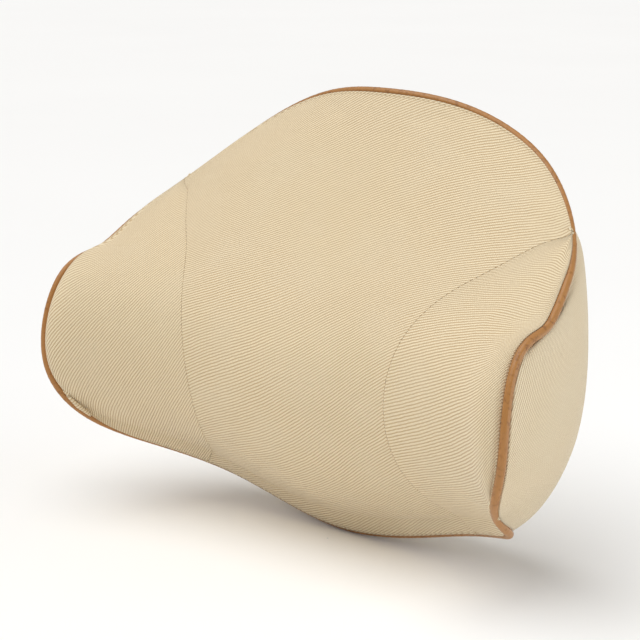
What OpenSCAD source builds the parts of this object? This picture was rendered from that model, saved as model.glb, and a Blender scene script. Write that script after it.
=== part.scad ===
// U shaped neck pillow: a moulded foam core in a fitted cover with piping and a zip.
// X runs across the pillow, the neck side faces -Y, +Z is up. The origin is under the middle of the
// pillow, level with its lowest point.

/* [Pillow] */
// Overall width of the pillow
pillow_w = 300; // [250:5:360]
// Overall depth, from the wing edges to the top of the zip's slider
pillow_d = 112; // [93:1:135]
// Overall height of the pillow
pillow_h = 212; // [176:2:255]
// Crown of the front above the surface through the edge
front_crown = 29.5; // [26:0.5:34]
// Crown of the back before it is pressed flat
back_crown = 80; // [76:0.5:96]

/* [Cover] */
// Thickness of the cover fabric with its backing
cover_t = 1.6; // [1:0.1:2]
// Space between the cover and the liner, where the zip lies
cover_gap = 2.6; // [2.6:0.1:4]
// Width of the gap between two panels, filled by the seam thread
seam_gap = 1.0; // [0.8:0.1:1.6]
// Diameter of the seam thread bead
thread_d = 0.5; // [0.4:0.1:0.6]

/* [Piping] */
// Outer diameter of the piping
piping_d = 3.8; // [3:0.1:5]
// Wall of the piping sleeve
piping_wall = 0.6; // [0.4:0.05:0.8]
// Clearance between the piping filler and its sleeve
filler_clear = 0.1; // [0.05:0.05:0.3]
// Clearance between the piping and the edge of a panel
edge_clear = 0.25; // [0.2:0.05:0.6]

/* [Core] */
// Thickness of the knitted liner
liner_t = 0.6; // [0.4:0.1:1]
// Clearance between the liner and the foam core
core_clear = 1.4; // [1.2:0.1:2.5]

/* [Zip] */
// Length of the row of teeth
zip_len = 160; // [110:2:168]
// Height of the zip above the lowest point
zip_z = 92; // [80:1:110]
// Distance from one tooth to the next
tooth_pitch = 2.5; // [2:0.25:3]
// Width of one row of teeth
tooth_w = 2.6; // [2:0.1:3]
// Height of the teeth above the tape
tooth_h = 2.2; // [1.8:0.1:2.4]
// Width of one tape
tape_w = 12; // [9:0.5:14]
// Thickness of the tape
tape_t = 0.7; // [0.5:0.05:0.8]
// Space between the two rows of teeth, through which the slider's post runs
tooth_gap = 1.2; // [1:0.1:1.6]
// Length of the slider along the zip
slider_l = 9; // [8:0.5:12]
// Thickness of each plate of the slider
plate_t = 1; // [0.8:0.1:1]
// Running clearance round the slider
slider_clear = 0.3; // [0.2:0.05:0.35]
// Length of the pull tab from its pivot
pull_l = 24; // [18:1:32]
// Width of the pull tab
pull_w = 8; // [7:0.5:11]
// Thickness of the pull tab
pull_t = 1.2; // [0.8:0.1:1.4]

/* [Hidden] */
$fn = 32;
tiny = 0.01;

// Scales of the outline, which is drawn for a pillow of 300 x 112 x 212
kx = pillow_w / 300;
ky = pillow_d / 112;
kz = pillow_h / 212;

// Right half of the edge, from the top centre round the wing to the bottom centre.
// The points are those of a smooth cubic curve, which runs close to them.
rim_half = [
    [0, 38, 212], [44, 47, 209], [91, 50, 188], [124, 25, 155],
    [135, 3, 142], [140, -15, 126], [140, -24, 125], [142, -41, 120], [145, -51, 98], [146, -53, 69],
    [132, -45, 48], [127, -13, 30], [77, 18, 18], [0, 14, -6]
];
half_n = len(rim_half);
top_corner = 3;
low_corner = 10;
rim = [
    for (i = [0:half_n - 1]) [kx * rim_half[i].x, ky * rim_half[i].y, kz * rim_half[i].z],
    for (i = [half_n - 2:-1:1]) [-kx * rim_half[i].x, ky * rim_half[i].y, kz * rim_half[i].z]
];

// How far the panels stop short of the edge, as a share of the half width
panel_reach = 0.99;
// The liner and the core stop a little further in
liner_reach = 0.95;
core_reach = 0.93;
// Least distance of the core and the liner from the middle surface
core_floor = 0.15;
liner_floor = 0.4;
// Where the flat of the back lies, and how softly it begins
flat_y = 51 * ky;
flat_soft = 5 * ky;

// Mesh steps across, up, and round the tubes
cross_n = 24;
wing_n = 8;
rise_n = 26;
inner_n = 18;

// Depths below the outer face of the cover
liner_in = cover_t + cover_gap;
core_in = liner_in + liner_t + core_clear;

// Gap between two layers of cloth, and how far the tapes run past the teeth
layer_gap = 0.3;
tape_over = 12;
// How far the tapes and the top stops stand back from the rows' inner edge
tape_back = 0.4;
stop_back = 0.5;
stop_clear = 0.2;
stop_l = 2.6;
low_stop_l = 3;
tack_w = 0.7;
tack_h = 0.3;
// Slider: rails beside the teeth, and the post between the rows
rail_w = 0.6;
post_w = 0.6;
post_l = 2.4;
post_back = 3;

// Heights of the zip's layers, measured along +Y
tape_top = flat_y - cover_t - layer_gap;
tape_low = tape_top - tape_t;
teeth_top = tape_top + tooth_h;
rows_w = 2 * tooth_w + tooth_gap;
slot_w = rows_w + 5;
slot_l = zip_len + 9;
plate_w = rows_w + 2;
plate_low = teeth_top + slider_clear;
plate_top = plate_low + plate_t;
under_top = tape_low - slider_clear;
bar_r = 0.7;
bar_y = plate_top + bar_r + 0.35;
arch_w = 2.2;
arch_in = 2.6;
arch_t = 0.9;
arm_w = 1.6;
slider_x = zip_len / 2 - slider_l / 2 - 3;

// A point on the closed cubic curve through the rim's control points
function curve_at(t) =
    let (i = floor(t), f = t - i, n = len(rim))
    let (a = rim[(i + n - 1) % n], b = rim[i % n], c = rim[(i + 1) % n], d = rim[(i + 2) % n])
    a * pow(1 - f, 3) / 6 + b * (3 * pow(f, 3) - 6 * pow(f, 2) + 4) / 6
    + c * (-3 * pow(f, 3) + 3 * pow(f, 2) + 3 * f + 1) / 6 + d * pow(f, 3) / 6;

function mirrored(p, s) = [s * p.x, p.y, p.z];
function side_edge(v) = curve_at(low_corner + (top_corner - low_corner) * (v + 1) / 2);
function top_edge(u) = mirrored(curve_at(abs(u) * top_corner), u < 0 ? -1 : 1);
function low_edge(u) =
    mirrored(curve_at(half_n - 1 - abs(u) * (half_n - 1 - low_corner)), u < 0 ? -1 : 1);

// The middle surface spans the edge: u runs from -1 at the left to 1, v from -1 at the bottom to 1
function middle(u, v) =
    let (r = side_edge(v), t = top_edge(u), b = low_edge(u), ru = (u + 1) / 2, rv = (v + 1) / 2)
    let (ct = side_edge(1), cb = side_edge(-1))
    mirrored(r, -1) * (1 - ru) + r * ru + b * (1 - rv) + t * rv
    - mirrored(cb, -1) * (1 - ru) * (1 - rv) - cb * ru * (1 - rv)
    - mirrored(ct, -1) * (1 - ru) * rv - ct * ru * rv;

function unit(p) = p / norm(p);
function dome(u, v, p, q) =
    pow(max(0, 1 - pow(abs(u), p.x)), 1 / q) * pow(max(0, 1 - pow(abs(v), p.y)), 1 / q);

// How far the cover stands off the middle surface, and in which direction
function front_rise(u, v) =
    ky * (front_crown - 25 * v - 1.5 * u * u - 30 * v * v - 4.5 * u * u * v + 29 * v * v * v)
    * dome(u, v, [2.8, 2.3], 2);
function back_rise(u, v) =
    ky * (back_crown - 38 * v - 36 * u * u - 3 * v * v - 6.5 * u * u * v + 8.5 * v * v * v)
    * dome(u, v, [2.3, 2.3], 1.7);
function front_way(u, v) = unit([-0.18 * u, -1, 0.3 * v - 0.33]);
function back_way(u, v) = unit([0.25 * u, 1, 0.255 * v + 0.4]);

// Near the edge the first stretch off the middle surface is square to it, which keeps the panels
// off the piping. Its way is taken a little inside the edge, where the surface is well shaped.
side_step = 0.01;
function square_way(u, v, side) =
    let (a = 0.97 * u, b = 0.97 * v)
    let (over = middle(a + side_step, b) - middle(a - side_step, b))
    let (up = middle(a, b + side_step) - middle(a, b - side_step))
    -side * unit(cross(over, up));
function squared(way, u, v, side) =
    let (share = pow(max(abs(u), abs(v)), 8))
    unit(way * (1 - share) + square_way(u, v, side) * share);
function stood_off(way, u, v, side, high, least) =
    squared(way, u, v, side) * least + way * max(high - least, 0);

// The back is pressed flat where it would pass the flat's plane
function pressed(y, flat) =
    let (start = flat - flat_soft, over = y - start)
    over <= 0 ? y : over >= 2 * flat_soft ? flat : y - over * over / (4 * flat_soft);

// Points of the cover, a depth below its outer face, at least a floor off the middle surface
function front_point(u, v, depth, least, reach) =
    middle(u * reach, v * reach) + stood_off(front_way(u, v), u, v, -1, front_rise(u, v) - depth, least);
function back_point(u, v, depth, least, reach) =
    let (q = middle(u * reach, v * reach))
    let (p = q + stood_off(back_way(u, v), u, v, 1, back_rise(u, v) - depth, least))
    [p.x, pressed(p.y, flat_y - depth), p.z];

// The panel's edges lie just clear of the piping
edge_low = piping_d / 2 + edge_clear;
edge_top = edge_low + 0.3;

// Steps from -1 to 1 that crowd towards both ends
function steps(n) = [for (i = [0:n]) let (a = -1 + 2 * i / n) 0.25 * a + 0.75 * sin(90 * a)];
across = steps(cross_n);
rise = steps(rise_n);

// The seams run from the top corners, bow inwards and end on the bottom edge
function seam_at(v) = 1 - (1 - v) * (0.59 + 0.24 * v + 0.06 * pow(v, 3));
seam_half = seam_gap / pillow_w;
// The wings keep a little width where the seams meet the edge at the top
seam_end = 0.98;
function centre_limit(v) = min(seam_at(v), seam_end) - seam_half;
function wing_start(v) = centre_limit(v) + 2 * seam_half;

// A closed sheet between two grids of points of the same size
module sheet(outer, inner) {
    rows = len(outer);
    cols = len(outer[0]);
    n = rows * cols;
    points = [for (g = [outer, inner]) for (row = g) for (p = row) p];
    ring = [
        for (j = [0:cols - 2]) j, for (i = [0:rows - 2]) i * cols + cols - 1,
        for (j = [cols - 1:-1:1]) (rows - 1) * cols + j, for (i = [rows - 1:-1:1]) i * cols
    ];
    faces = [
        for (i = [0:rows - 2]) for (j = [0:cols - 2])
            each let (a = i * cols + j, b = a + 1, c = a + cols + 1, d = a + cols)
                [[a, b, c], [a, c, d], [n + a, n + c, n + b], [n + a, n + d, n + c]],
        for (k = [0:len(ring) - 1])
            each let (a = ring[k], b = ring[(k + 1) % len(ring)]) [[b, a, n + a], [b, n + a, n + b]]
    ];
    polyhedron(points, faces);
}

// A closed tube through rings of points
module tube_loop(rings) {
    m = len(rings);
    s = len(rings[0]);
    faces = [
        for (i = [0:m - 1]) for (j = [0:s - 1])
            each let (next = (i + 1) % m, a = i * s + j, b = i * s + (j + 1) % s)
                let (c = next * s + (j + 1) % s, d = next * s + j)
                [[a, c, b], [a, d, c]]
    ];
    polyhedron([for (r = rings) for (p = r) p], faces);
}

// A tube with flat ends through rings of points
module tube_run(rings) {
    m = len(rings);
    s = len(rings[0]);
    faces = [
        for (i = [0:m - 2]) for (j = [0:s - 1])
            each let (a = i * s + j, b = i * s + (j + 1) % s, c = b + s, d = a + s)
                [[a, c, b], [a, d, c]],
        [for (j = [0:s - 1]) j],
        [for (j = [s - 1:-1:0]) (m - 1) * s + j]
    ];
    polyhedron([for (r = rings) for (p = r) p], faces);
}

// The edge, as pairs of u and v, clockwise from the top left corner
round_edge = [
    for (i = [0:cross_n - 1]) [across[i], 1],
    for (i = [rise_n:-1:1]) [1, rise[i]],
    for (i = [cross_n:-1:1]) [across[i], -1],
    for (i = [0:rise_n - 1]) [-1, rise[i]]
];

// Frame at a step of the edge: place, way outwards and way across the edge
function edge_frame(k) =
    let (n = len(round_edge), q = round_edge[k])
    let (before = round_edge[(k + n - 1) % n], after = round_edge[(k + 1) % n])
    let (p = middle(q.x, q.y), along = unit(middle(after.x, after.y) - middle(before.x, before.y)))
    let (raw = p - middle(q.x * 0.93, q.y * 0.93), out = unit(raw - along * (raw * along)))
    [p, out, cross(along, out)];

function ring_of(frame, profile) = [for (q = profile) frame[0] + frame[1] * q.x + frame[2] * q.y];
function disc(r, sides) = [for (i = [0:sides - 1]) [r * cos(360 * i / sides), r * sin(360 * i / sides)]];
edge_frames = [for (k = [0:len(round_edge) - 1]) edge_frame(k)];

// The sleeve is a C in section, closed but for the slit between its two lips
sleeve_r = piping_d / 2;
lip = 1.8;
slit = 0.15;
lip_t = 0.4;
sleeve_profile = [
    for (a = [-150:37.5:150]) [sleeve_r * cos(a), sleeve_r * sin(a)],
    [-sleeve_r - lip, slit + lip_t], [-sleeve_r - lip, slit],
    for (a = [165:-41.25:-165]) [(sleeve_r - piping_wall) * cos(a), (sleeve_r - piping_wall) * sin(a)],
    [-sleeve_r - lip, -slit], [-sleeve_r - lip, -slit - lip_t]
];

module fabric() { color([0.90, 0.83, 0.69]) children(); }
module leatherette() { color([0.68, 0.43, 0.22]) children(); }
module thread() { color([0.55, 0.45, 0.33]) children(); }
module tape_colour() { color([0.78, 0.69, 0.53]) children(); }
module metal() { color([0.72, 0.58, 0.36]) children(); }

// Inner layers round off their corners and close on a thin edge
function inner_u(a, b, reach) = reach * a * (1 - 0.12 * pow(b, 4));
function closing(a, b) = sqrt(max(0, (1 - pow(a, 12)) * (1 - pow(b, 12))));
function layer(side, depth, reach, least) = [
    for (b = steps(inner_n)) [
        for (a = steps(inner_n))
            let (u = inner_u(a, b, reach), v = inner_u(b, a, reach), c = closing(a, b))
            side < 0
                ? middle(u, v) + front_way(u, v) * max((front_rise(u, v) - depth) * c, least)
                : let (p = middle(u, v) + back_way(u, v) * max((back_rise(u, v) - depth) * c, least))
                    [p.x, pressed(p.y, flat_y - depth), p.z]
    ]
];

module foam_core() {
    front = layer(-1, core_in, core_reach, core_floor);
    back = layer(1, core_in, core_reach, core_floor);
    color([0.95, 0.93, 0.86]) sheet(back, front);
}

// One half of the liner bag, inside or behind the other
module liner(side) {
    outer = layer(side, liner_in, liner_reach, liner_floor + liner_t);
    inner = layer(side, liner_in + liner_t, liner_reach, liner_floor);
    color([0.93, 0.93, 0.91])
        if (side < 0) sheet(inner, outer);
        else sheet(outer, inner);
}
module liner_front() { liner(-1); }
module liner_back() { liner(1); }

// Panels of the cover
function front_row(v, from, to, n, depth, least) = [
    for (i = [0:n]) let (u = from + (to - from) * i / n) front_point(u, v, depth, least, panel_reach)
];
module front_centre_panel() {
    function grid(depth, least) = [
        for (v = rise) [for (a = across) front_point(a * centre_limit(v), v, depth, least, panel_reach)]
    ];
    fabric() sheet(grid(cover_t, edge_low), grid(0, edge_top));
}
module wing_panel(s) {
    // The steps crowd towards the edge. The right wing is counted from its edge inwards.
    function grid(depth, least) = [
        for (v = rise) [
            for (k = [0:wing_n])
                let (i = s > 0 ? wing_n - k : k, share = 0.3 * i / wing_n + 0.7 * sin(90 * i / wing_n))
                let (u = wing_start(v) + (1 - wing_start(v)) * share)
                mirrored(front_point(u, v, depth, least, panel_reach), s)
        ]
    ];
    fabric() sheet(grid(0, edge_top), grid(cover_t, edge_low));
}
module left_wing_panel() { wing_panel(-1); }
module right_wing_panel() { wing_panel(1); }

module back_panel() {
    function grid(depth, least) = [
        for (v = rise) [for (u = across) back_point(u, v, depth, least, panel_reach)]
    ];
    fabric()
        difference() {
            sheet(grid(0, edge_top), grid(cover_t, edge_low));
            translate([-slot_l / 2, tape_top, zip_z - slot_w / 2])
                cube([slot_l, flat_y - tape_top + 1, slot_w]);
        }
}

// Piping round the edge
module piping_cover() {
    leatherette() tube_loop([for (f = edge_frames) ring_of(f, sleeve_profile)]);
}
module piping_filler() {
    filler_r = sleeve_r - piping_wall - filler_clear;
    color([0.93, 0.92, 0.88]) tube_loop([for (f = edge_frames) ring_of(f, disc(filler_r, 6))]);
}

// Bead of thread along a seam, just under the outer face, which stops short of the piping
thread_end = 0.97;
module seam_thread(s) {
    function place(v) =
        let (u = centre_limit(v) + seam_half)
        mirrored(front_point(u, v, thread_d / 2, edge_top, panel_reach), s);
    rings = [
        for (k = [0:rise_n])
            let (p = place(thread_end * rise[k]))
            let (ahead = place(thread_end * rise[min(k + 1, rise_n)]))
            let (along = unit(ahead - place(thread_end * rise[max(k - 1, 0)])))
            let (side = unit(cross(along, [0, -1, 0])), up = cross(along, side))
            ring_of([p, side, up], disc(thread_d / 2, 6))
    ];
    thread() tube_run(rings);
}
module left_seam_thread() { seam_thread(-1); }
module right_seam_thread() { seam_thread(1); }

// Zip across the flat of the back. Boxes are given by their low corner and size.
// Low side of a strip that lies beside the gap between the rows, above or below it
function beside(s, set_back, width) =
    let (near = tooth_gap / 2 + set_back) s > 0 ? near : -near - width;
module zip_tape(s) {
    tape_colour()
        translate([-zip_len / 2 - tape_over, tape_low, zip_z + beside(s, tape_back, tape_w)])
            cube([zip_len + 2 * tape_over, tape_t, tape_w]);
}
module zip_upper_tape() { zip_tape(1); }
module zip_lower_tape() { zip_tape(-1); }

// A comb of teeth on one bar, as an outline in x and z that is given its height along +Y
module zip_teeth(s) {
    n = floor(zip_len / tooth_pitch);
    back = tooth_w * 0.35;
    start = -zip_len / 2;
    teeth_x = [for (i = [0:n - 1]) start + i * tooth_pitch + (s > 0 ? tooth_pitch / 4 : tooth_pitch / 2)];
    outline = [
        [start, tooth_w], [start, tooth_w - back],
        for (x = teeth_x)
            each [
                [x - tooth_pitch * 0.2, tooth_w - back], [x - tooth_pitch * 0.2, 0],
                [x + tooth_pitch * 0.2, 0], [x + tooth_pitch * 0.2, tooth_w - back]
            ],
        [-start, tooth_w - back], [-start, tooth_w]
    ];
    color([0.80, 0.72, 0.58])
        translate([0, tape_top, zip_z])
            mirror([0, 0, s > 0 ? 0 : 1])
                translate([0, tooth_h, tooth_gap / 2])
                    rotate([90, 0, 0])
                        linear_extrude(tooth_h) polygon(outline);
}
module zip_upper_teeth() { zip_teeth(1); }
module zip_lower_teeth() { zip_teeth(-1); }

module zip_top_stops() {
    metal()
        for (s = [-1, 1])
            translate([zip_len / 2 + stop_clear, tape_top, zip_z + beside(s, stop_back, tooth_w)])
                cube([stop_l, tooth_h, tooth_w]);
}
module zip_bottom_stop() {
    metal()
        translate([-zip_len / 2 - stop_clear - low_stop_l, tape_top, zip_z - tooth_w])
            cube([low_stop_l, tooth_h, 2 * tooth_w]);
}
module zip_bar_tacks() {
    thread()
        for (s = [-1, 1])
            translate([s * (slot_l / 2 - tack_w) - tack_w / 2, tape_top, zip_z - slot_w / 2 + tack_h])
                cube([tack_w, flat_y - tape_top + tack_h, slot_w - 2 * tack_h]);
}

module zip_slider() {
    x0 = slider_x - slider_l / 2;
    metal()
        translate([x0, 0, zip_z]) {
            // Upper plate with its side rails
            translate([0, plate_low, -plate_w / 2]) cube([slider_l, plate_t, plate_w]);
            for (s = [-1, 1])
                translate([0, tape_top + slider_clear, s * (plate_w - rail_w) / 2 - rail_w / 2])
                    cube([slider_l, plate_low - tape_top - slider_clear + tiny, rail_w]);
            // Lower plate and the post between the rows of teeth
            translate([0, under_top - plate_t, -plate_w / 2]) cube([slider_l, plate_t, plate_w]);
            translate([slider_l - post_back, under_top - tiny, -post_w / 2])
                cube([post_l, plate_low - under_top + 2 * tiny, post_w]);
            // Arch that holds the pull
            translate([slider_l / 2, plate_top - tiny, -arch_w / 2]) pull_arch();
        }
}
module pull_arch() {
    span = slider_l - 1;
    high = arch_in + arch_t;
    linear_extrude(arch_w)
        polygon([
            [-span / 2, 0], [-span / 2, high * 0.6], [-span / 2 + 1.4, high], [span / 2 - 1.4, high],
            [span / 2, high * 0.6], [span / 2, 0], [span / 2 - arch_t, 0], [span / 2 - arch_t, high * 0.5],
            [span / 2 - arch_t - 0.9, arch_in], [-span / 2 + arch_t + 0.9, arch_in],
            [-span / 2 + arch_t, high * 0.5], [-span / 2 + arch_t, 0]
        ]);
}

module zip_pull() {
    inner_half = arch_w / 2 + slider_clear;
    reach = slider_l / 2 + 1;
    metal()
        translate([slider_x, bar_y, zip_z]) {
            // Pivot bar under the arch
            translate([0, 0, -inner_half - arm_w]) cylinder(h = 2 * (inner_half + arm_w), r = bar_r);
            // Arms beside the arch, then the tab with its hole
            for (s = [-1, 1])
                translate([-reach, -pull_t / 2, s > 0 ? inner_half : -inner_half - arm_w])
                    cube([reach, pull_t, arm_w]);
            difference() {
                translate([0, pull_t / 2, 0])
                    rotate([90, 0, 0])
                        linear_extrude(pull_t) tab_outline(reach);
                translate([-pull_l + pull_w * 0.45, -pull_t, 0])
                    rotate([-90, 0, 0]) cylinder(h = 2 * pull_t, r = pull_w * 0.2);
            }
        }
}
// Outline of the tab in x and z, from the arms to its round end
module tab_outline(reach) {
    base = arch_w + 2 * slider_clear + 2 * arm_w;
    polygon([
        [-reach + tiny, base / 2], [-reach + tiny, -base / 2],
        [-pull_l + pull_w / 2, -pull_w / 2],
        for (a = [240:-15:120]) [-pull_l + pull_w / 2 + pull_w / 2 * cos(a), pull_w / 2 * sin(a)],
        [-pull_l + pull_w / 2, pull_w / 2]
    ]);
}

foam_core();
liner_front();
liner_back();
front_centre_panel();
left_wing_panel();
right_wing_panel();
back_panel();
piping_cover();
piping_filler();
left_seam_thread();
right_seam_thread();
zip_upper_tape();
zip_lower_tape();
zip_upper_teeth();
zip_lower_teeth();
zip_top_stops();
zip_bottom_stop();
zip_bar_tacks();
zip_slider();
zip_pull();
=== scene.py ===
"""U shaped neck pillow: a moulded foam cushion in a fitted twill cover with leatherette piping and a zip.

Lengths inside the functions are in millimetres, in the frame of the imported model: X runs across the
pillow, the neck side faces -Y and +Z is up. They become metres as a mesh is made.
"""

import math

import bpy
import numpy as np
from bpy.props import FloatProperty, FloatVectorProperty, IntProperty, PointerProperty
from mathutils import Matrix, Vector


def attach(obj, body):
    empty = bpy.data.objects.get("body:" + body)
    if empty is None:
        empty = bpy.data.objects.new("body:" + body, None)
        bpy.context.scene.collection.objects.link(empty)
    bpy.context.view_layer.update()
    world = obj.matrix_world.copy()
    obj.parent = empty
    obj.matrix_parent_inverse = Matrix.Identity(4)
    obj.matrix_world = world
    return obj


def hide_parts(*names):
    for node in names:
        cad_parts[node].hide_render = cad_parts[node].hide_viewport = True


bl_info = {
    "name": "Neck Pillow",
    "version": (1, 0, 0),
    "blender": (4, 5, 0),
    "location": "3D View > Sidebar > Neck Pillow",
    "description": "Builds a U shaped neck pillow with a twill cover, piping and a zip",
    "category": "Add Mesh",
}

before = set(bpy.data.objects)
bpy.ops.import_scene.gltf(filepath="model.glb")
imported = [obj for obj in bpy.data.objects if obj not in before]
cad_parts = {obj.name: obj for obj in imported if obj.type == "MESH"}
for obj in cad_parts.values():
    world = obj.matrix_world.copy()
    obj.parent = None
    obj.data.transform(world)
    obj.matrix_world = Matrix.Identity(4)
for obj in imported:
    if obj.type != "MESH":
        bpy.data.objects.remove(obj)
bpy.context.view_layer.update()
MM = 0.001
# One unit of a piece's cloth map is this many millimetres
MAP_UNIT = 500.0
# Width over the edge, and steps of the wide panels and the wings
PILLOW_W = 300
PANEL_STEPS, WING_STEPS = 132, 44
# Half the depth of the cut for the zip's opening
SLOT_CUT = 8
# Where the seams' stitches start and end up the seam, and how deep they lie
STITCH_FROM, STITCH_TO, STITCH_SINK = -0.97, 0.93, 0.45
# Steps of the piping along its length and round it
SLEEVE_STEPS, SLEEVE_SIDES = 1400, 22


# ---------------------------------------------------------------- sizes and colours


def length(name, description, default):
    """A size in millimetres."""
    return FloatProperty(name=name, description=description, default=default, precision=2)


def colour(name, description, default):
    """A colour as it looks on a screen."""
    return FloatVectorProperty(
        name=name, description=description, default=default, size=3, min=0, max=1, subtype="COLOR_GAMMA"
    )


class NeckPillowShape(bpy.types.PropertyGroup):
    """Sizes of the cushion and its cover."""

    front_crown: length("Front crown", "Height of the front above the surface through the edge", 29.5)
    back_crown: length("Back crown", "Height of the back before it is pressed flat", 80)
    flat_y: length("Flat of the back", "How far back the flat lies", 51)
    flat_soft: length("Softness of the flat", "How softly the flat begins", 5)
    cover_t: length("Cover thickness", "Thickness of the twill with its backing", 0.9)
    liner_depth: length("Liner depth", "Depth of the liner below the cover's face", 4.3)
    core_depth: length("Core depth", "Depth of the foam below the cover's face", 6.2)
    edge_rise: length("Edge height", "Height of the panels' edges beside the piping", 2.4)
    seam_gap: length("Seam gap", "Width of the groove between two panels", 0.35)
    swell: length("Swell", "The most that the cloth simulation may move the cover", 2.2)
    swell_steps: IntProperty(name="Swell frames", description="Frames of the cloth simulation", default=20)


class NeckPillowTrim(bpy.types.PropertyGroup):
    """Sizes of the piping, the stitches and the zip's opening."""

    piping_d: length("Piping diameter", "Outer diameter of the piping", 3.8)
    pucker: length("Piping pucker", "Depth of the piping's small wrinkles", 0.03)
    stitch_l: length("Stitch length", "Length of one stitch", 1.9)
    stitch_pitch: length("Stitch pitch", "Distance from one stitch to the next", 3.0)
    stitch_d: length("Stitch thickness", "Thickness of the thread", 0.42)
    slot_l: length("Zip opening length", "Length of the opening over the zip", 169)
    slot_w: length("Zip opening width", "Width of the opening over the zip", 11.4)
    slot_z: length("Zip opening height", "Height of the opening's middle", 92)
    hem_w: length("Hem width", "Width of the hem round the opening", 2.2)
    hem_h: length("Hem height", "Height of the hem round the opening", 0.4)


class NeckPillowLook(bpy.types.PropertyGroup):
    """Colours and scale of the finishes."""

    rib_pitch: length("Rib pitch", "Distance from one rib of the twill to the next", 1.35)
    rib: colour("Twill rib", "Colour of the twill's ribs", (0.95, 0.885, 0.755))
    # The groove colour is painted shade between the twill's ribs; random fuzz specks use it too.
    groove: colour("Twill groove", "Colour between the twill's ribs", (0.80, 0.69, 0.53))
    piping: colour("Piping", "Colour of the leatherette", (0.67, 0.46, 0.23))
    # Painted shade for the leatherette's folds.
    piping_fold_shade: colour("Piping shade", "Colour in the leatherette's folds", (0.55, 0.36, 0.17))
    thread: colour("Thread", "Colour of the seam thread", (0.64, 0.53, 0.39))
    metal: colour("Zip metal", "Colour of the slider and the stops", (0.78, 0.64, 0.42))
    tape: colour("Zip tape", "Colour of the zip's tapes", (0.80, 0.71, 0.57))


class NeckPillowStage(bpy.types.PropertyGroup):
    """Camera, floor and lights."""

    azimuth: FloatProperty(name="Camera azimuth", description="Degrees round the pillow", default=42.69)
    elevation: FloatProperty(name="Camera elevation", description="Degrees above the horizon", default=11.21)
    roll: FloatProperty(name="Camera roll", description="Degrees", default=0.316)
    distance: length("Camera distance", "From the camera to the point it aims at", 1000)
    lens: FloatProperty(name="Lens", description="Focal length in millimetres", default=120.3)
    sun: FloatProperty(name="Soft sun", description="Strength of the soft light from above", default=2.12)
    sky: FloatProperty(name="Sky", description="Strength of the light from all round", default=0.4)
    fill: FloatProperty(name="Fill", description="Power of the cool light from the right", default=2.7)


# ---------------------------------------------------------------- the pillow's surface

# Control points of the right half of the edge, from the top centre round the wing to the bottom centre
EDGE = np.array(
    [
        [0, 38, 212], [44, 47, 209], [91, 50, 188], [124, 25, 155],
        [135, 3, 142], [140, -15, 126], [140, -24, 125], [142, -41, 120], [145, -51, 98], [146, -53, 69],
        [132, -45, 48], [127, -13, 30], [77, 18, 18], [0, 14, -6],
    ],
    float,
)
LAST = len(EDGE) - 1
EDGE_LOOP = np.vstack([EDGE, EDGE[1:-1][::-1] * [-1, 1, 1]])
TOP_CORNER = 3
LOW_CORNER = 10
# How far the panels, the liner and the core reach, as a share of the half width
PANEL_REACH = 0.99
LINER_REACH = 0.95
CORE_REACH = 0.93
# Where the seams meet the edge at the top
SEAM_END = 0.985
# How far a panel's edge is turned in beside the piping, as a share of the half width
TURN_IN = 0.013


def unit(vectors):
    """Vectors of length 1 in the same directions."""
    return vectors / np.maximum(np.linalg.norm(vectors, axis=-1, keepdims=True), 1e-9)


def mirror_x(points, sign):
    """Points with x times sign."""
    return points * np.stack([sign, np.ones_like(sign), np.ones_like(sign)], -1)


def edge_curve(t):
    """Uniform cubic B-spline round the edge: the four points about step t, weighted by the cubic blends."""
    t = np.asarray(t, float)
    step = np.floor(t).astype(int)
    f = (t - step)[..., None]
    before, here, after, beyond = (EDGE_LOOP[(step + k) % len(EDGE_LOOP)] for k in (-1, 0, 1, 2))
    return (
        before * (1 - f) ** 3
        + here * (3 * f**3 - 6 * f**2 + 4)
        + after * (-3 * f**3 + 3 * f**2 + 3 * f + 1)
        + beyond * f**3
    ) / 6


def middle(u, v):
    """Surface spanned by the edge: the mean across plus the mean up, less the corners' bilinear mean."""
    u, v = np.broadcast_arrays(np.asarray(u, float), np.asarray(v, float))
    side = np.where(u < 0, -1.0, 1.0)
    right = edge_curve(LOW_CORNER + (TOP_CORNER - LOW_CORNER) * (v + 1) / 2)
    top = mirror_x(edge_curve(abs(u) * TOP_CORNER), side)
    low = mirror_x(edge_curve(LAST - abs(u) * (LAST - LOW_CORNER)), side)
    over = ((u + 1) / 2)[..., None]
    up = ((v + 1) / 2)[..., None]
    flip = np.array([-1.0, 1.0, 1.0])
    top_right, low_right = edge_curve(float(TOP_CORNER)), edge_curve(float(LOW_CORNER))
    corners = (
        low_right * flip * (1 - over) * (1 - up)
        + low_right * over * (1 - up)
        + top_right * flip * (1 - over) * up
        + top_right * over * up
    )
    return right * flip * (1 - over) + right * over + low * (1 - up) + top * up - corners


def dome(u, v, power_u, power_v, root):
    """((1 - |u|^power_u) (1 - |v|^power_v)) to the power 1 / root."""
    inside = np.clip(1 - abs(u) ** power_u, 0, 1) * np.clip(1 - abs(v) ** power_v, 0, 1)
    return inside ** (1 / root)


def front_rise(shape, u, v):
    """Height of the front: the crown, less at the top, with a fold across the middle, times a dome."""
    height = shape.front_crown - 25 * v - 1.5 * u**2 - 30 * v**2 - 4.5 * u**2 * v + 29 * v**3
    return height * dome(u, v, 2.8, 2.3, 2)


def back_rise(shape, u, v):
    """Height of the back: the crown, less at the top and the sides, times a dome."""
    height = shape.back_crown - 38 * v - 36 * u**2 - 3 * v**2 - 6.5 * u**2 * v + 8.5 * v**3
    return height * dome(u, v, 2.3, 2.3, 1.7)


def front_way(u, v):
    """Direction in which the front stands off the middle surface."""
    return unit(np.stack([-0.18 * u, -np.ones_like(u), 0.3 * v - 0.33], -1))


def back_way(u, v):
    """Direction in which the back stands off the middle surface."""
    return unit(np.stack([0.25 * u, np.ones_like(u), 0.255 * v + 0.4], -1))


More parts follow.
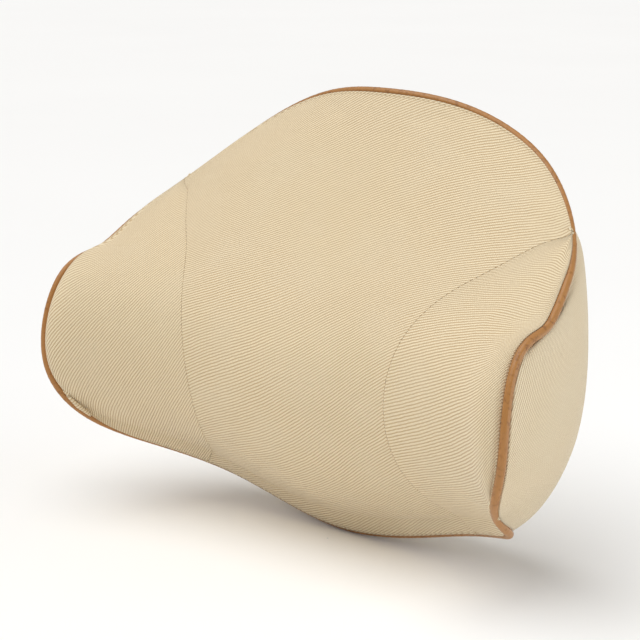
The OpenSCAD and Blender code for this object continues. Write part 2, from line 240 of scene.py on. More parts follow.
def at_least(value, floor, ease):
    """The larger of value and floor, with the corner between them rounded over ease."""
    return (value + floor + np.sqrt((value - floor) ** 2 + ease**2)) / 2


def pressed(y, flat, soft):
    """y held at flat, with a parabola from soft below it to soft beyond it."""
    over = y - (flat - soft)
    return np.where(over <= 0, y, np.where(over >= 2 * soft, flat, y - over**2 / (4 * soft)))


def seam_at(v):
    """Where the right seam crosses height v, as a share of the half width. It bows inwards."""
    return np.minimum(1 - (1 - v) * (0.59 + 0.24 * v + 0.06 * v**3), SEAM_END)


def crowded(count):
    """Steps from -1 to 1 that crowd towards both ends: a quarter even, the rest a sine."""
    even = np.linspace(-1, 1, count + 1)
    return 0.25 * even + 0.75 * np.sin(even * math.pi / 2)


def square_way(u, v, side):
    """Unit normal of the middle surface a little inside (u, v), towards that side."""
    a, b, step = 0.97 * u, 0.97 * v, 0.01
    across = middle(a + step, b) - middle(a - step, b)
    up = middle(a, b + step) - middle(a, b - step)
    return unit(np.cross(across, up)) * (1 if side == "front" else -1)


def side_point(shape, side, u, v, depth, floor, reach_u, reach_v, turned):
    """Points of one side of the cover: the middle surface at the shares reach_u and reach_v, plus floor
    square to it near the edge, plus the side's direction times the rest of its rise. Both shrink where
    the edge is turned in."""
    way, rise = (front_way(u, v), front_rise) if side == "front" else (back_way(u, v), back_rise)
    share = (np.maximum(abs(u), abs(v)) ** 8)[..., None]
    first = unit(way * (1 - share) + square_way(u, v, side) * share)
    kept = 1 - 0.75 * turned
    high = at_least(rise(shape, u, v) - depth - floor, 0.0, 0.5) * kept
    points = middle(u * reach_u, v * reach_v) + first * (floor * kept)[..., None] + way * high[..., None]
    if side == "back":
        points[..., 1] = pressed(points[..., 1], shape.flat_y - depth, shape.flat_soft)
    return points


# ---------------------------------------------------------------- the cloth simulation

# How far each point of the simulation's grid moved, by side
SWELLING = {}
# The seam's column in the simulation's grid, as a share of the half width
SEAM_COLUMN = 0.5


def grid_faces(rows, cols, close_rows=False, close_cols=False, flip=False):
    """Quads between neighbouring points of a grid, optionally closed round either way."""
    i = np.arange(rows if close_rows else rows - 1)[:, None]
    j = np.arange(cols if close_cols else cols - 1)[None, :]
    i, j = np.broadcast_arrays(i, j)
    i1, j1 = (i + 1) % rows, (j + 1) % cols
    quads = np.stack([i * cols + j, i * cols + j1, i1 * cols + j1, i1 * cols + j], -1).reshape(-1, 4)
    return quads[:, ::-1] if flip else quads


def closed_body(front, back):
    """Points and faces of the closed body between two square grids, which share the mean of their borders,
    and the grid's mask of the border."""
    n = len(front)
    rim = np.zeros((n, n), bool)
    rim[0], rim[-1], rim[:, 0], rim[:, -1] = True, True, True, True
    shared = (front + back) / 2
    front[rim] = shared[rim]
    index = np.arange(n * n).reshape(n, n)
    back_index = index.copy()
    back_index[~rim] = n * n + np.arange((~rim).sum())
    quads = grid_faces(n, n)
    faces = np.vstack([quads, back_index.reshape(-1)[quads[:, ::-1]]])
    return np.vstack([front.reshape(-1, 3), back[~rim]]), faces, rim


def simulate_swell(shape, steps=72):
    """Inflates a closed copy of the cover that is held at its edge, its seams and its flat, and keeps how
    far each point of a grid moved. A column c of the grid lies at u = c / SEAM_COLUMN times the seam's u
    up to the seam, and evenly from there to the edge."""
    c = np.linspace(-1, 1, steps + 1)
    v = np.linspace(-1, 1, steps + 1)
    c, v = np.meshgrid(c, v)
    u = grid_to_u(c, v)
    flat = np.zeros_like(u)
    front = side_point(shape, "front", u, v, 0.0, shape.edge_rise, PANEL_REACH, PANEL_REACH, flat)
    back = side_point(shape, "back", u, v, 0.0, shape.edge_rise, PANEL_REACH, PANEL_REACH, flat)
    n = steps + 1
    points, faces, rim = closed_body(front, back)
    seam = np.isclose(abs(c), SEAM_COLUMN, atol=0.3 / steps)
    held = np.vstack([(rim | seam).reshape(-1, 1), (back[..., 1] > shape.flat_y - 0.6)[~rim].reshape(-1, 1)])
    mesh = bpy.data.meshes.new("swell")
    mesh.from_pydata((points * MM).tolist(), [], faces.tolist())
    body = bpy.data.objects.new("swell", mesh)
    bpy.context.scene.collection.objects.link(body)
    pins = body.vertex_groups.new(name="held")
    pins.add(np.flatnonzero(held[:, 0]).tolist(), 1.0, "REPLACE")
    cloth = body.modifiers.new("cloth", "CLOTH")
    cloth.settings.quality = 5
    cloth.settings.mass = 0.3
    cloth.settings.tension_stiffness = 30
    cloth.settings.compression_stiffness = 12
    cloth.settings.shear_stiffness = 10
    cloth.settings.bending_stiffness = 0.6
    cloth.settings.use_pressure = True
    cloth.settings.uniform_pressure_force = 4
    cloth.settings.vertex_group_mass = "held"
    cloth.settings.effector_weights.gravity = 0
    cloth.point_cache.frame_start = 1
    cloth.point_cache.frame_end = shape.swell_steps
    scene = bpy.context.scene
    for number in range(1, shape.swell_steps + 1):
        scene.frame_set(number)
    swollen = body.evaluated_get(bpy.context.evaluated_depsgraph_get()).to_mesh()
    moved = np.empty(len(points) * 3, np.float32)
    swollen.vertices.foreach_get("co", moved)
    scene.frame_set(1)
    bpy.data.objects.remove(body)
    shift = moved.reshape(-1, 3).astype(float) / MM - points
    far = np.linalg.norm(shift, axis=-1, keepdims=True)
    shift *= shape.swell * np.tanh(far / shape.swell) / np.maximum(far, 1e-6)
    SWELLING["front"] = shift[: n * n].reshape(n, n, 3)
    back_shift = np.zeros((n, n, 3))
    back_shift[~rim] = shift[n * n :]
    SWELLING["back"] = back_shift
    print("swell: the cover moved up to %.2f mm" % np.abs(shift).max())


def grid_to_u(c, v):
    """Columns of the simulation's grid as u."""
    seam = seam_at(v)
    inner = c / SEAM_COLUMN * seam
    outer = np.sign(c) * (seam + (abs(c) - SEAM_COLUMN) / (1 - SEAM_COLUMN) * (1 - seam))
    return np.where(abs(c) <= SEAM_COLUMN, inner, outer)


def u_to_grid(u, v):
    """The inverse of grid_to_u."""
    seam = seam_at(v)
    inner = u / seam * SEAM_COLUMN
    outer = np.sign(u) * (SEAM_COLUMN + (abs(u) - seam) / (1 - seam) * (1 - SEAM_COLUMN))
    return np.where(abs(u) <= seam, inner, outer)


def swelling(side, u, v):
    """How far the cloth moved at u and v, bilinear between the grid's points."""
    if side not in SWELLING:
        return 0.0
    table = SWELLING[side]
    last = len(table) - 1
    x = np.clip((u_to_grid(u, v) + 1) / 2 * last, 0, last - 1e-6)
    y = np.clip((v + 1) / 2 * last, 0, last - 1e-6)
    i, j = y.astype(int), x.astype(int)
    fy, fx = (y - i)[..., None], (x - j)[..., None]
    low = table[i, j] * (1 - fx) + table[i, j + 1] * fx
    high = table[i + 1, j] * (1 - fx) + table[i + 1, j + 1] * fx
    return low * (1 - fy) + high * fy


# ---------------------------------------------------------------- meshes


def make_piece(name, points, faces, material, cloth_map=None, body="pillow", replaces=()):
    """Puts points, in millimetres, and faces into a smooth mesh object that rides on a body."""
    mesh = bpy.data.meshes.new(name)
    mesh.from_pydata((points.reshape(-1, 3) * MM).tolist(), [], faces.tolist())
    mesh.polygons.foreach_set("use_smooth", np.ones(len(mesh.polygons), bool))
    if cloth_map is not None:
        corners = np.empty(len(mesh.loops), np.int32)
        mesh.loops.foreach_get("vertex_index", corners)
        layer = mesh.uv_layers.new(name="cloth")
        layer.data.foreach_set("uv", cloth_map.reshape(-1, 2)[corners].astype(np.float32).ravel())
    mesh.materials.append(material)
    mesh.update()
    piece = bpy.data.objects.new(name, mesh)
    bpy.context.scene.collection.objects.link(piece)
    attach(piece, body)
    if replaces:
        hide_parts(*replaces)
    return piece


def cloth_lengths(points):
    """Map of a grid of points, in map units: the lengths along its rows and its columns from their
    middles."""

    def measured(axis):
        steps = np.linalg.norm(np.diff(points, axis=axis), axis=-1)
        total = np.insert(np.cumsum(steps, axis=axis), 0, 0, axis=axis)
        return total - np.take(total, [total.shape[axis] // 2], axis=axis)

    return np.stack([measured(1), measured(0)], -1) / MAP_UNIT + 0.5


def give_thickness(piece, thickness):
    """Solidify inwards from the outer face."""
    wall = piece.modifiers.new("thickness", "SOLIDIFY")
    wall.thickness = thickness * MM
    wall.offset = -1
    return piece


def apply_modifiers(piece):
    """Replaces the piece's mesh by its evaluated one."""
    graph = bpy.context.evaluated_depsgraph_get()
    made = bpy.data.meshes.new_from_object(piece.evaluated_get(graph))
    piece.modifiers.clear()
    piece.data = made
    return piece


def area_of(piece):
    """Area of a piece's faces in square metres, before it has a thickness."""
    return sum(face.area for face in piece.data.polygons)


# Steps of the cloth past a panel's edge, as shares of its turned in width
TUCK = np.array([0.2, 0.45, 0.7, 1.0])
# How far the cloth rolls over into a seam, onwards and down
ROLL_OUT, ROLL_DOWN = 0.25, 1.5


def cover_panel(shape, name, side, left, right, kinds, cols, rows, material, replaces):
    """One panel of the cover. Across, a runs from -1 at left(v) to 1 at right(v); up, v runs from -1 to 1.
    Past either end four more steps turn the cloth in: beside the piping by shrinking its reach and its
    height, and at a seam by sinking it into the groove along a quarter circle."""
    a = np.concatenate([-1 - TUCK[::-1], crowded(cols), 1 + TUCK])
    b = np.concatenate([-1 - TUCK[::-1], crowded(rows), 1 + TUCK])
    a, b = np.meshgrid(a, b)
    v = np.clip(b, -1, 1)
    across = np.clip(a, -1, 1)
    u = left(v) + (right(v) - left(v)) * (across + 1) / 2
    past = np.where(a < 0, np.maximum(-1 - a, 0), np.maximum(a - 1, 0))
    at_edge = np.where(a < 0, kinds[0] == "edge", kinds[1] == "edge")
    turn_u, turn_v = past * at_edge, np.maximum(abs(b) - 1, 0)
    sink = past * ~at_edge
    turned = np.maximum(turn_u, turn_v)
    reach_u = PANEL_REACH - TURN_IN * turn_u
    reach_v = PANEL_REACH - TURN_IN * turn_v
    points = side_point(shape, side, u, v, 0.0, shape.edge_rise, reach_u, reach_v, turned)
    points = points + swelling(side, u, v)
    tangent_u = unit(np.gradient(points, axis=1))
    normal = unit(np.cross(tangent_u, np.gradient(points, axis=0)))
    if side == "back":
        normal = -normal
    angle = sink * math.pi / 2
    first, last = len(TUCK), points.shape[1] - 1 - len(TUCK)
    edge = np.where(a < 0, first, last)
    start = np.take_along_axis(points, np.repeat(edge[..., None], 3, -1), 1)
    start_n = np.take_along_axis(normal, np.repeat(edge[..., None], 3, -1), 1)
    inner = np.where(a < 0, first + 2, last - 2)
    inside = np.take_along_axis(points, np.repeat(inner[..., None], 3, -1), 1)
    outward = unit(start - inside)
    ahead, down = ROLL_OUT * np.sin(angle), ROLL_DOWN * (1 - np.cos(angle))
    rolled = start + outward * ahead[..., None] - start_n * down[..., None]
    points = np.where((sink > 0)[..., None], rolled, points)
    faces = grid_faces(*a.shape, flip=side == "back")
    piece = make_piece(name, points, faces, material, cloth_lengths(points), replaces=replaces)
    stretch_area = area_of(piece)
    give_thickness(piece, shape.cover_t)
    return piece, stretch_area


def closed_layer(shape, side, depth, reach, floor, count):
    """One face of an inner layer: its corners are rounded by shrinking u with v to the 4th, and it closes
    towards its edge as the root of (1 - a^12)(1 - b^12)."""
    a, b = np.meshgrid(crowded(count), crowded(count))
    u, v = reach * a * (1 - 0.12 * b**4), reach * b * (1 - 0.12 * a**4)
    closing = np.sqrt(np.clip((1 - a**12) * (1 - b**12), 0, 1))
    way, rise = (front_way, front_rise) if side == "front" else (back_way, back_rise)
    height = np.maximum((rise(shape, u, v) - depth) * closing, floor)
    points = middle(u, v) + way(u, v) * height[..., None]
    if side == "back":
        points[..., 1] = pressed(points[..., 1], shape.flat_y - depth, shape.flat_soft)
    return points


def round_the_edge(count):
    """The edge as u and v, clockwise from the top left corner, at even lengths: points of the middle
    surface's border, spread by interpolating u and v over the border's length."""
    fine = np.linspace(0, 1, 400, endpoint=False)
    ones = np.ones_like(fine)
    u = np.concatenate([-1 + 2 * fine, ones, 1 - 2 * fine, -ones, [-1]])
    v = np.concatenate([ones, 1 - 2 * fine, -ones, -1 + 2 * fine, [1]])
    border = middle(u, v)
    run = np.insert(np.cumsum(np.linalg.norm(np.diff(border, axis=0), axis=-1)), 0, 0)
    at = np.linspace(0, run[-1], count, endpoint=False)
    return np.interp(at, run, u), np.interp(at, run, v), run[-1]


def smoothed_ring(values, width):
    """Mean of a closed row of vectors over width neighbours."""
    kernel = np.ones(width) / width
    padded = np.concatenate([values[-width:], values, values[:width]])
    mean = np.stack([np.convolve(padded[:, k], kernel, "same") for k in range(values.shape[1])], -1)
    return mean[width:-width]


def edge_frames(count):
    """Place, outward way and cross way at even steps round the edge, and the edge's length. Outwards is
    the way from a smaller copy of the border, less its part along the border."""
    u, v, total = round_the_edge(count)
    place = smoothed_ring(middle(u, v), 7)
    along = unit(np.roll(place, -1, 0) - np.roll(place, 1, 0))
    raw = smoothed_ring(middle(u, v) - middle(u * 0.93, v * 0.93), 25)
    out = unit(raw - along * (raw * along).sum(-1, keepdims=True))
    return place, out, np.cross(along, out), total


def stitches(trim, path, normal, name, material, replaces=(), closed=False, lift=0.0):
    """Short capsules at even lengths along a path: rings of six points whose radius follows a half sine."""
    steps = np.linalg.norm(np.diff(path, axis=0), axis=-1)
    run = np.insert(np.cumsum(steps), 0, 0)
    count = int(run[-1] / trim.stitch_pitch)
    offset = 0 if closed else 0.5
    middle_at = (np.arange(count) + offset) * run[-1] / count
    share = np.linspace(-1, 1, 7)
    at = np.clip(middle_at[:, None] + share * trim.stitch_l / 2, 0, run[-1])
    centre = np.stack([np.interp(at, run, path[:, k]) for k in range(3)], -1)
    up = unit(np.stack([np.interp(at, run, normal[:, k]) for k in range(3)], -1))
    along = unit(centre[:, -1:] - centre[:, :1])
    side = unit(np.cross(along, up))
    bulge = np.sqrt(np.clip(1 - share**2, 0.02, 1)) * trim.stitch_d / 2
    hump = (lift + 0.18 * (1 - share**2))[None, :, None]
    centre = centre + up * hump
    angle = np.arange(6) * math.pi / 3
    ring = side[:, :, None] * np.cos(angle)[:, None] + up[:, :, None] * np.sin(angle)[:, None]
    points = centre[:, :, None] + ring * bulge[None, :, None, None]
    one = grid_faces(7, 6, close_cols=True)
    faces = (one[None] + (np.arange(count) * 42)[:, None, None]).reshape(-1, 4)
    caps = np.array([[3, 2, 1, 0], [5, 4, 3, 0], [36, 37, 38, 39], [36, 39, 40, 41]])
    caps = (caps[None] + (np.arange(count) * 42)[:, None, None]).reshape(-1, 4)
    # The rings run clockwise about their line, so the quads are turned round
    return make_piece(name, points, np.vstack([faces, caps])[:, ::-1], material, replaces=replaces)


# ---------------------------------------------------------------- materials


def linear(shade):
    """A screen colour as scene light: each channel by the sRGB curve."""
    return [c / 12.92 if c <= 0.04045 else ((c + 0.055) / 1.055) ** 2.4 for c in shade]


class Value:
    """A number in a material, on which Python's operators add Math nodes."""

    def __init__(self, finish, socket):
        self.finish, self.socket = finish, socket

    def _with(self, operation, *others, turned=False):
        inputs = [self, *others]
        return self.finish.maths(operation, *(inputs[::-1] if turned else inputs))

    def __add__(self, other):
        return self._with("ADD", other)

    def __radd__(self, other):
        return self._with("ADD", other, turned=True)

    def __sub__(self, other):
        return self._with("SUBTRACT", other)

    def __rsub__(self, other):
        return self._with("SUBTRACT", other, turned=True)

    def __mul__(self, other):
        return self._with("MULTIPLY", other)

    def __rmul__(self, other):
        return self._with("MULTIPLY", other, turned=True)

    def __truediv__(self, other):
        return self._with("DIVIDE", other)

    def __pow__(self, other):
        return self._with("POWER", other)


class Finish:
    """One material's nodes, with its Principled shader."""

    def __init__(self, name, **constants):
        self.material = bpy.data.materials.new(name)
        self.material.use_nodes = True
        self.tree = self.material.node_tree
        self.shader = self.tree.nodes["Principled BSDF"]
        for socket, value in constants.items():
            self.shader.inputs[socket.replace("_", " ")].default_value = value

    def node(self, kind, settings=None, values=None):
        """A node of a type, with its settings made first, then its sockets given values or links."""
        made = self.tree.nodes.new("ShaderNode" + kind)
        for key, setting in (settings or {}).items():
            setattr(made, key, setting)
        for key, value in (values or {}).items():
            self.give(made.inputs[key], value)
        return made

    def give(self, socket, value):
        if isinstance(value, Value):
            self.tree.links.new(value.socket, socket)
        elif isinstance(value, bpy.types.NodeSocket):
            self.tree.links.new(value, socket)
        else:
            socket.default_value = value

    def maths(self, operation, *values):
        made = self.node("Math", {"operation": operation})
        for socket, value in zip(made.inputs, values):
            self.give(socket, value)
        return Value(self, made.outputs[0])

    def fraction(self, value):
        return self.maths("FRACT", value)

    def smooth(self, value, low, high):
        """0 below low, 1 above high, and smooth between."""
        made = self.node(
            "MapRange", {"interpolation_type": "SMOOTHSTEP"}, {"From Min": low, "From Max": high}
        )
        self.give(made.inputs["Value"], value)
        return Value(self, made.outputs["Result"])

    def blend(self, share, first, second):
        """The colour first where share is 0 and second where it is 1."""
        made = self.node("Mix", {"data_type": "RGBA"})
        self.give(made.inputs[0], share)
        for socket, value in ((made.inputs[6], first), (made.inputs[7], second)):
            self.give(socket, value if isinstance(value, bpy.types.NodeSocket) else (*value, 1.0))
        return made.outputs[2]

    def place(self, map_name=None):
        """Object coordinates in millimetres, or a piece's cloth map in millimetres, as a vector socket."""
        if map_name:
            source = self.node("UVMap", {"uv_map": map_name}).outputs[0]
            scale = MAP_UNIT
        else:
            source = self.node("TexCoord").outputs["Object"]
            scale = 1 / MM
        made = self.node("VectorMath", {"operation": "SCALE"}, {"Vector": source, "Scale": scale})
        return made.outputs[0]

    def parts(self, vector):
        made = self.node("SeparateXYZ", None, {0: vector})
        return [Value(self, socket) for socket in made.outputs]

    def noise(self, vector, size, detail=2.0):
        """Noise with features of about that many units of the vector."""
        made = self.node("TexNoise", None, {"Vector": vector, "Scale": 1 / size, "Detail": detail})
        return Value(self, made.outputs["Fac"])

    def bump(self, height, depth, strength=1.0, under=None):
        """Bump of a height from 0 to 1 that is depth millimetres deep."""
        made = self.node("Bump", None, {"Height": height, "Distance": depth * MM, "Strength": strength})
        if under is not None:
            self.give(made.inputs["Normal"], under)
        return made.outputs[0]

    def paint(self, socket, value):
        self.give(self.shader.inputs[socket], value)


def twill(look, name, angle, map_name="cloth"):
    """Ribbed twill: ribs at a pitch, turned by angle from the row direction, each a half sine across and
    cut into short floats along, each rib's a half float on from the last. The grooves and the ends of the
    floats are darker: painted shade in the recesses, with painted light on the ribs' crowns."""
    finish = Finish(name, Roughness=0.82, Sheen_Weight=0.25, Sheen_Roughness=0.4, Specular_IOR_Level=0.25)
    cloth = finish.place(map_name)
    x, y, _ = finish.parts(cloth)
    turn = math.radians(angle)
    sway = finish.noise(cloth, 30.0, 3.0) * 1.4 + finish.noise(cloth, 2.5, 1.0) * 0.22
    across = (y * math.cos(turn) - x * math.sin(turn)) / look.rib_pitch + sway
    along = (x * math.cos(turn) + y * math.sin(turn)) / (look.rib_pitch * 0.8)
    rib = finish.maths("SINE", finish.fraction(across) * math.pi)
    number = finish.maths("FLOOR", across)
    float_cut = finish.maths("SINE", finish.fraction(along + number * 0.5) * math.pi)
    crown = finish.smooth(rib, 0.25, 0.85)
    knit = finish.smooth(float_cut, 0.1, 0.7)
    lit = crown * (0.72 + 0.28 * knit)
    worn = finish.noise(finish.place(), 26.0, 3.0)
    fuzz = finish.noise(finish.place(), 0.7, 2.0)
    # lit is painted light on the ribs' crowns; the groove colour between the ribs and at the float ends is
    # painted shade.
    shade = finish.blend(lit, linear(look.groove), linear(look.rib))
    cool = [c * k for c, k in zip(linear(look.rib), (0.90, 0.90, 0.92))]
    shade = finish.blend(finish.smooth(worn, 0.35, 0.75) * 0.22, shade, cool)
    shade = finish.blend(finish.smooth(fuzz, 0.62, 0.8) * 0.25, shade, linear(look.groove))
    finish.paint("Base Color", shade)
    height = lit * 0.85 + fuzz * 0.15
    finish.paint("Normal", finish.bump(height, 0.28, 0.9))
    return finish.material


def leatherette(look):
    """Soft leatherette: fine grain from small cells over shallow creases, with painted shade in the folds.
    """
    finish = Finish(
        "piping_leatherette", Coat_Roughness=0.45, Sheen_Weight=0.05, Specular_IOR_Level=0.45
    )
    place = finish.place()
    crease = finish.noise(place, 2.4, 3.0)
    cells = finish.node("TexVoronoi", None, {"Vector": place, "Scale": 2.2})
    grain = Value(finish, cells.outputs["Distance"])
    patch = finish.noise(place, 14.0, 3.0)
    fold = finish.smooth(crease, 0.25, 0.5)
    # The darker piping colour in the folds between the crease ridges is painted shade.
    shade = finish.blend(fold, linear(look.piping_fold_shade), linear(look.piping))
    light = [min(c * 1.25, 1.0) for c in linear(look.piping)]
    shade = finish.blend(finish.smooth(patch, 0.45, 0.75) * 0.3, shade, light)
    finish.paint("Base Color", shade)
    finish.paint("Roughness", 0.38 + 0.22 * finish.smooth(patch, 0.3, 0.7) - 0.08 * fold)
    finish.paint("Coat Weight", 0.12 * fold)
    under = finish.bump(crease, 0.08, 0.6)
    finish.paint("Normal", finish.bump(grain, 0.06, 0.5, under))
    return finish.material


def spun(name, shade, ply, roughness=0.75):
    """Thread or cord: dark slanting lines of painted shade between its plies over the whole surface, by
    Object place.
    """
    finish = Finish(name, Roughness=roughness, Sheen_Weight=0.2)
    place = finish.place()
    x, y, z = finish.parts(place)
    twist = finish.fraction((x + y + z * 1.3) / ply + finish.noise(place, 3.0) * 0.5)
    line = finish.maths("SINE", twist * math.pi)
    # The dark colour in the lines between the plies is painted shade.
    dark = [c * 0.45 for c in linear(shade)]
    finish.paint("Base Color", finish.blend(finish.smooth(line, 0.15, 0.7), dark, linear(shade)))
    finish.paint("Normal", finish.bump(line, 0.08))
    return finish.material


def plain_weave(name, shade, pitch):
    """Plain weave in x and z: two sets of threads that pass over and under each other in turn, darker with
    painted shade where a thread passes under.
    """
    finish = Finish(name, Roughness=0.85, Sheen_Weight=0.15)
    place = finish.place()
    x, _, z = finish.parts(place)
    warp = finish.maths("SINE", x * (math.pi / pitch))
    weft = finish.maths("SINE", z * (math.pi / pitch))
    over = finish.smooth(warp * weft, -0.5, 0.5)
    dark = [c * 0.55 for c in linear(shade)]
    soil = finish.noise(place, 9.0, 3.0)
    # The dark colour where a thread passes under the other is painted shade; the soil patches below are
    # random soiling.
    woven = finish.blend(0.35 + 0.65 * over, dark, linear(shade))
    finish.paint("Base Color", finish.blend(finish.smooth(soil, 0.4, 0.8) * 0.2, woven, dark))
    finish.paint("Normal", finish.bump(over, 0.12, 0.7))
    return finish.material


def foam_finish():
    """Moulded foam: open cells of two sizes, with painted shade in the cells' hollows and lighter on their
    walls.
    """
    finish = Finish("foam_cells", Roughness=0.95)
    place = finish.place()
    cells = finish.node("TexVoronoi", None, {"Vector": place, "Scale": 0.7})
    pores = Value(finish, cells.outputs["Distance"])
    fine = finish.noise(place, 0.8, 3.0)
    wall = finish.smooth(pores + fine * 0.3, 0.15, 0.7)
    # The darker colour in the middle of each cell is painted shade in the pore's hollow.
    finish.paint("Base Color", finish.blend(wall, linear((0.78, 0.73, 0.58)), linear((0.96, 0.93, 0.82))))
    finish.paint("Normal", finish.bump(wall, 0.3))
    return finish.material


def brushed_metal(name, shade, roughness=0.28):
    """Plated metal: fine lines along x, rubbed brighter in patches and a little stained in others."""
    finish = Finish(name, Metallic=1.0)
    place = finish.place()
    drawn_out = finish.node("VectorMath", {"operation": "MULTIPLY"}, {0: place, 1: (0.08, 1.0, 1.0)})
    lines = finish.noise(drawn_out.outputs[0], 0.12, 2.0)
    rubbed = finish.smooth(finish.noise(place, 2.6, 3.0), 0.35, 0.7)
    dull = [c * 0.62 for c in linear(shade)]
    finish.paint("Base Color", finish.blend(rubbed, dull, linear(shade)))
    finish.paint("Roughness", roughness + 0.22 * (1 - rubbed) + 0.1 * lines)
    finish.paint("Normal", finish.bump(lines, 0.02, 0.4))
    return finish.material


def pale_floor():
    """Plain matt near-white floor with the faintest mottling."""
    finish = Finish("floor_paint", Roughness=0.95, Specular_IOR_Level=0.1)
    mottle = finish.noise(finish.place(), 400.0, 2.0)
    finish.paint("Base Color", finish.blend(mottle, (0.93, 0.93, 0.93), (0.96, 0.96, 0.96)))
    return finish.material


# ---------------------------------------------------------------- operators


class PieceOperator:
    """What the operators share: they finish or raise, and can be undone."""

    bl_options = {"REGISTER", "UNDO"}


class NECKPILLOW_OT_cushion(PieceOperator, bpy.types.Operator):
    """Make the foam cushion and the liner round it, and work out how the cover swells"""

    bl_idname = "neck_pillow.cushion"
    bl_label = "Cushion and liner"

    def execute(self, context):
        shape = context.scene.neck_pillow_shape
        if shape.swell > 0:
            simulate_swell(shape)
        count = 72
        front = closed_layer(shape, "front", shape.core_depth, CORE_REACH, 0.0, count)
        back = closed_layer(shape, "back", shape.core_depth, CORE_REACH, 0.0, count)
        n = count + 1
        points, faces, _ = closed_body(front, back)
        cushion = make_piece("foam_cushion", points, faces, foam_finish(), replaces=("foam_core",))
        knit = plain_weave("liner_knit", (0.93, 0.93, 0.91), 0.8)
        for side in ("front", "back"):
            layer = closed_layer(shape, side, shape.liner_depth, LINER_REACH, 0.5, count)
            faces = grid_faces(n, n, flip=side == "back")
            name = "liner_%s_cloth" % side
            liner = make_piece(
                name, layer, faces, knit, cloth_lengths(layer), replaces=("liner_" + side,)
            )
            give_thickness(liner, 0.5)
        return {"FINISHED"}


class NECKPILLOW_OT_cover(PieceOperator, bpy.types.Operator):
    """Make the four twill panels of the cover"""

    bl_idname = "neck_pillow.cover"
    bl_label = "Cover panels"

    def execute(self, context):
        shape, trim = context.scene.neck_pillow_shape, context.scene.neck_pillow_trim
        look = context.scene.neck_pillow_look
        gap = shape.seam_gap / PILLOW_W

        def seam(sign, toward):
            return lambda v: sign * (seam_at(v) + toward * gap)

        def rim(sign):
            return lambda v: sign * np.ones_like(v)

        front = [
            ("front_centre", seam(-1, -1), seam(1, -1), ("seam", "seam"), PANEL_STEPS, 29),
            ("left_wing", rim(-1), seam(-1, 1), ("edge", "seam"), WING_STEPS, 53),
            ("right_wing", seam(1, 1), rim(1), ("seam", "edge"), WING_STEPS, 22),
        ]
        for part, left, right, kinds, cols, angle in front:
            name, node = part + "_cloth", part + "_panel"
            finish = twill(look, name + "_twill", angle)
            piece, area = cover_panel(
                shape, name, "front", left, right, kinds, cols, PANEL_STEPS, finish, (node,)
            )
        finish = twill(look, "back_cloth_twill", -60)
        back, area = cover_panel(
            shape, "back_cloth", "back", rim(-1), rim(1), ("edge", "edge"),
            PANEL_STEPS, PANEL_STEPS, finish, ("back_panel",),
        )
        half = np.array([trim.slot_l / 2, SLOT_CUT, trim.slot_w / 2])
        box_points = np.array([[x, y, z] for x in (-1, 1) for y in (-1, 1) for z in (-1, 1)]) * half
        box_points += [0, shape.flat_y, trim.slot_z]
        box_faces = [[0, 1, 3, 2], [4, 6, 7, 5], [0, 4, 5, 1], [2, 3, 7, 6], [0, 2, 6, 4], [1, 5, 7, 3]]
        mesh = bpy.data.meshes.new("slot")
        mesh.from_pydata((box_points * MM).tolist(), [], box_faces)
        cutter = bpy.data.objects.new("slot", mesh)
        context.scene.collection.objects.link(cutter)
        cut = back.modifiers.new("slot", "BOOLEAN")
        cut.operation, cut.solver, cut.object = "DIFFERENCE", "EXACT", cutter
        apply_modifiers(back)
        bpy.data.objects.remove(cutter)
        return {"FINISHED"}


class NECKPILLOW_OT_piping(PieceOperator, bpy.types.Operator):
    """Make the piping round the edge"""

    bl_idname = "neck_pillow.piping"
    bl_label = "Piping"

    def execute(self, context):
        trim, look = context.scene.neck_pillow_trim, context.scene.neck_pillow_look
        count, sides = SLEEVE_STEPS, SLEEVE_SIDES
        place, out, cross, total = edge_frames(count)
        angle = np.linspace(math.radians(172), math.radians(-172), sides)
        run = np.arange(count) / count
        # Puckers: waves of whole numbers round the edge, each leaning a little round the tube
        pucker = np.zeros((count, sides))
        rng = np.random.default_rng(7)
        for waves in rng.integers(90, 420, 26):
            lean, phase = rng.uniform(-1.2, 1.2), rng.uniform(0, 6.28)
            pucker += np.sin(2 * math.pi * waves * run[:, None] + lean * angle[None, :] + phase)
        radius = trim.piping_d / 2 + trim.pucker * (pucker / 5.1 - 0.35)
        tube = (
            place[:, None]
            + out[:, None] * (radius * np.cos(angle))[..., None]
            + cross[:, None] * (radius * np.sin(angle))[..., None]
        )
        # The seam allowance runs inwards between the panels
        lip = np.array([[-3.2, -0.3], [-3.4, 0.0], [-3.2, 0.3]])
        flange = place[:, None] + out[:, None] * lip[:, 0, None] + cross[:, None] * lip[:, 1, None]
        points = np.concatenate([tube, flange], 1)
        around = np.concatenate([angle * trim.piping_d / 2, [-5, -5, -5]])
        length_map = np.broadcast_to(run[:, None] * total, points.shape[:2])
        cloth_map = np.stack([length_map, np.broadcast_to(around, points.shape[:2])], -1) / MAP_UNIT
        faces = grid_faces(*points.shape[:2], close_rows=True, close_cols=True)
        make_piece(
            "piping_sleeve", points, faces, leatherette(look), cloth_map,
            replaces=("piping_cover",),
        )
        return {"FINISHED"}


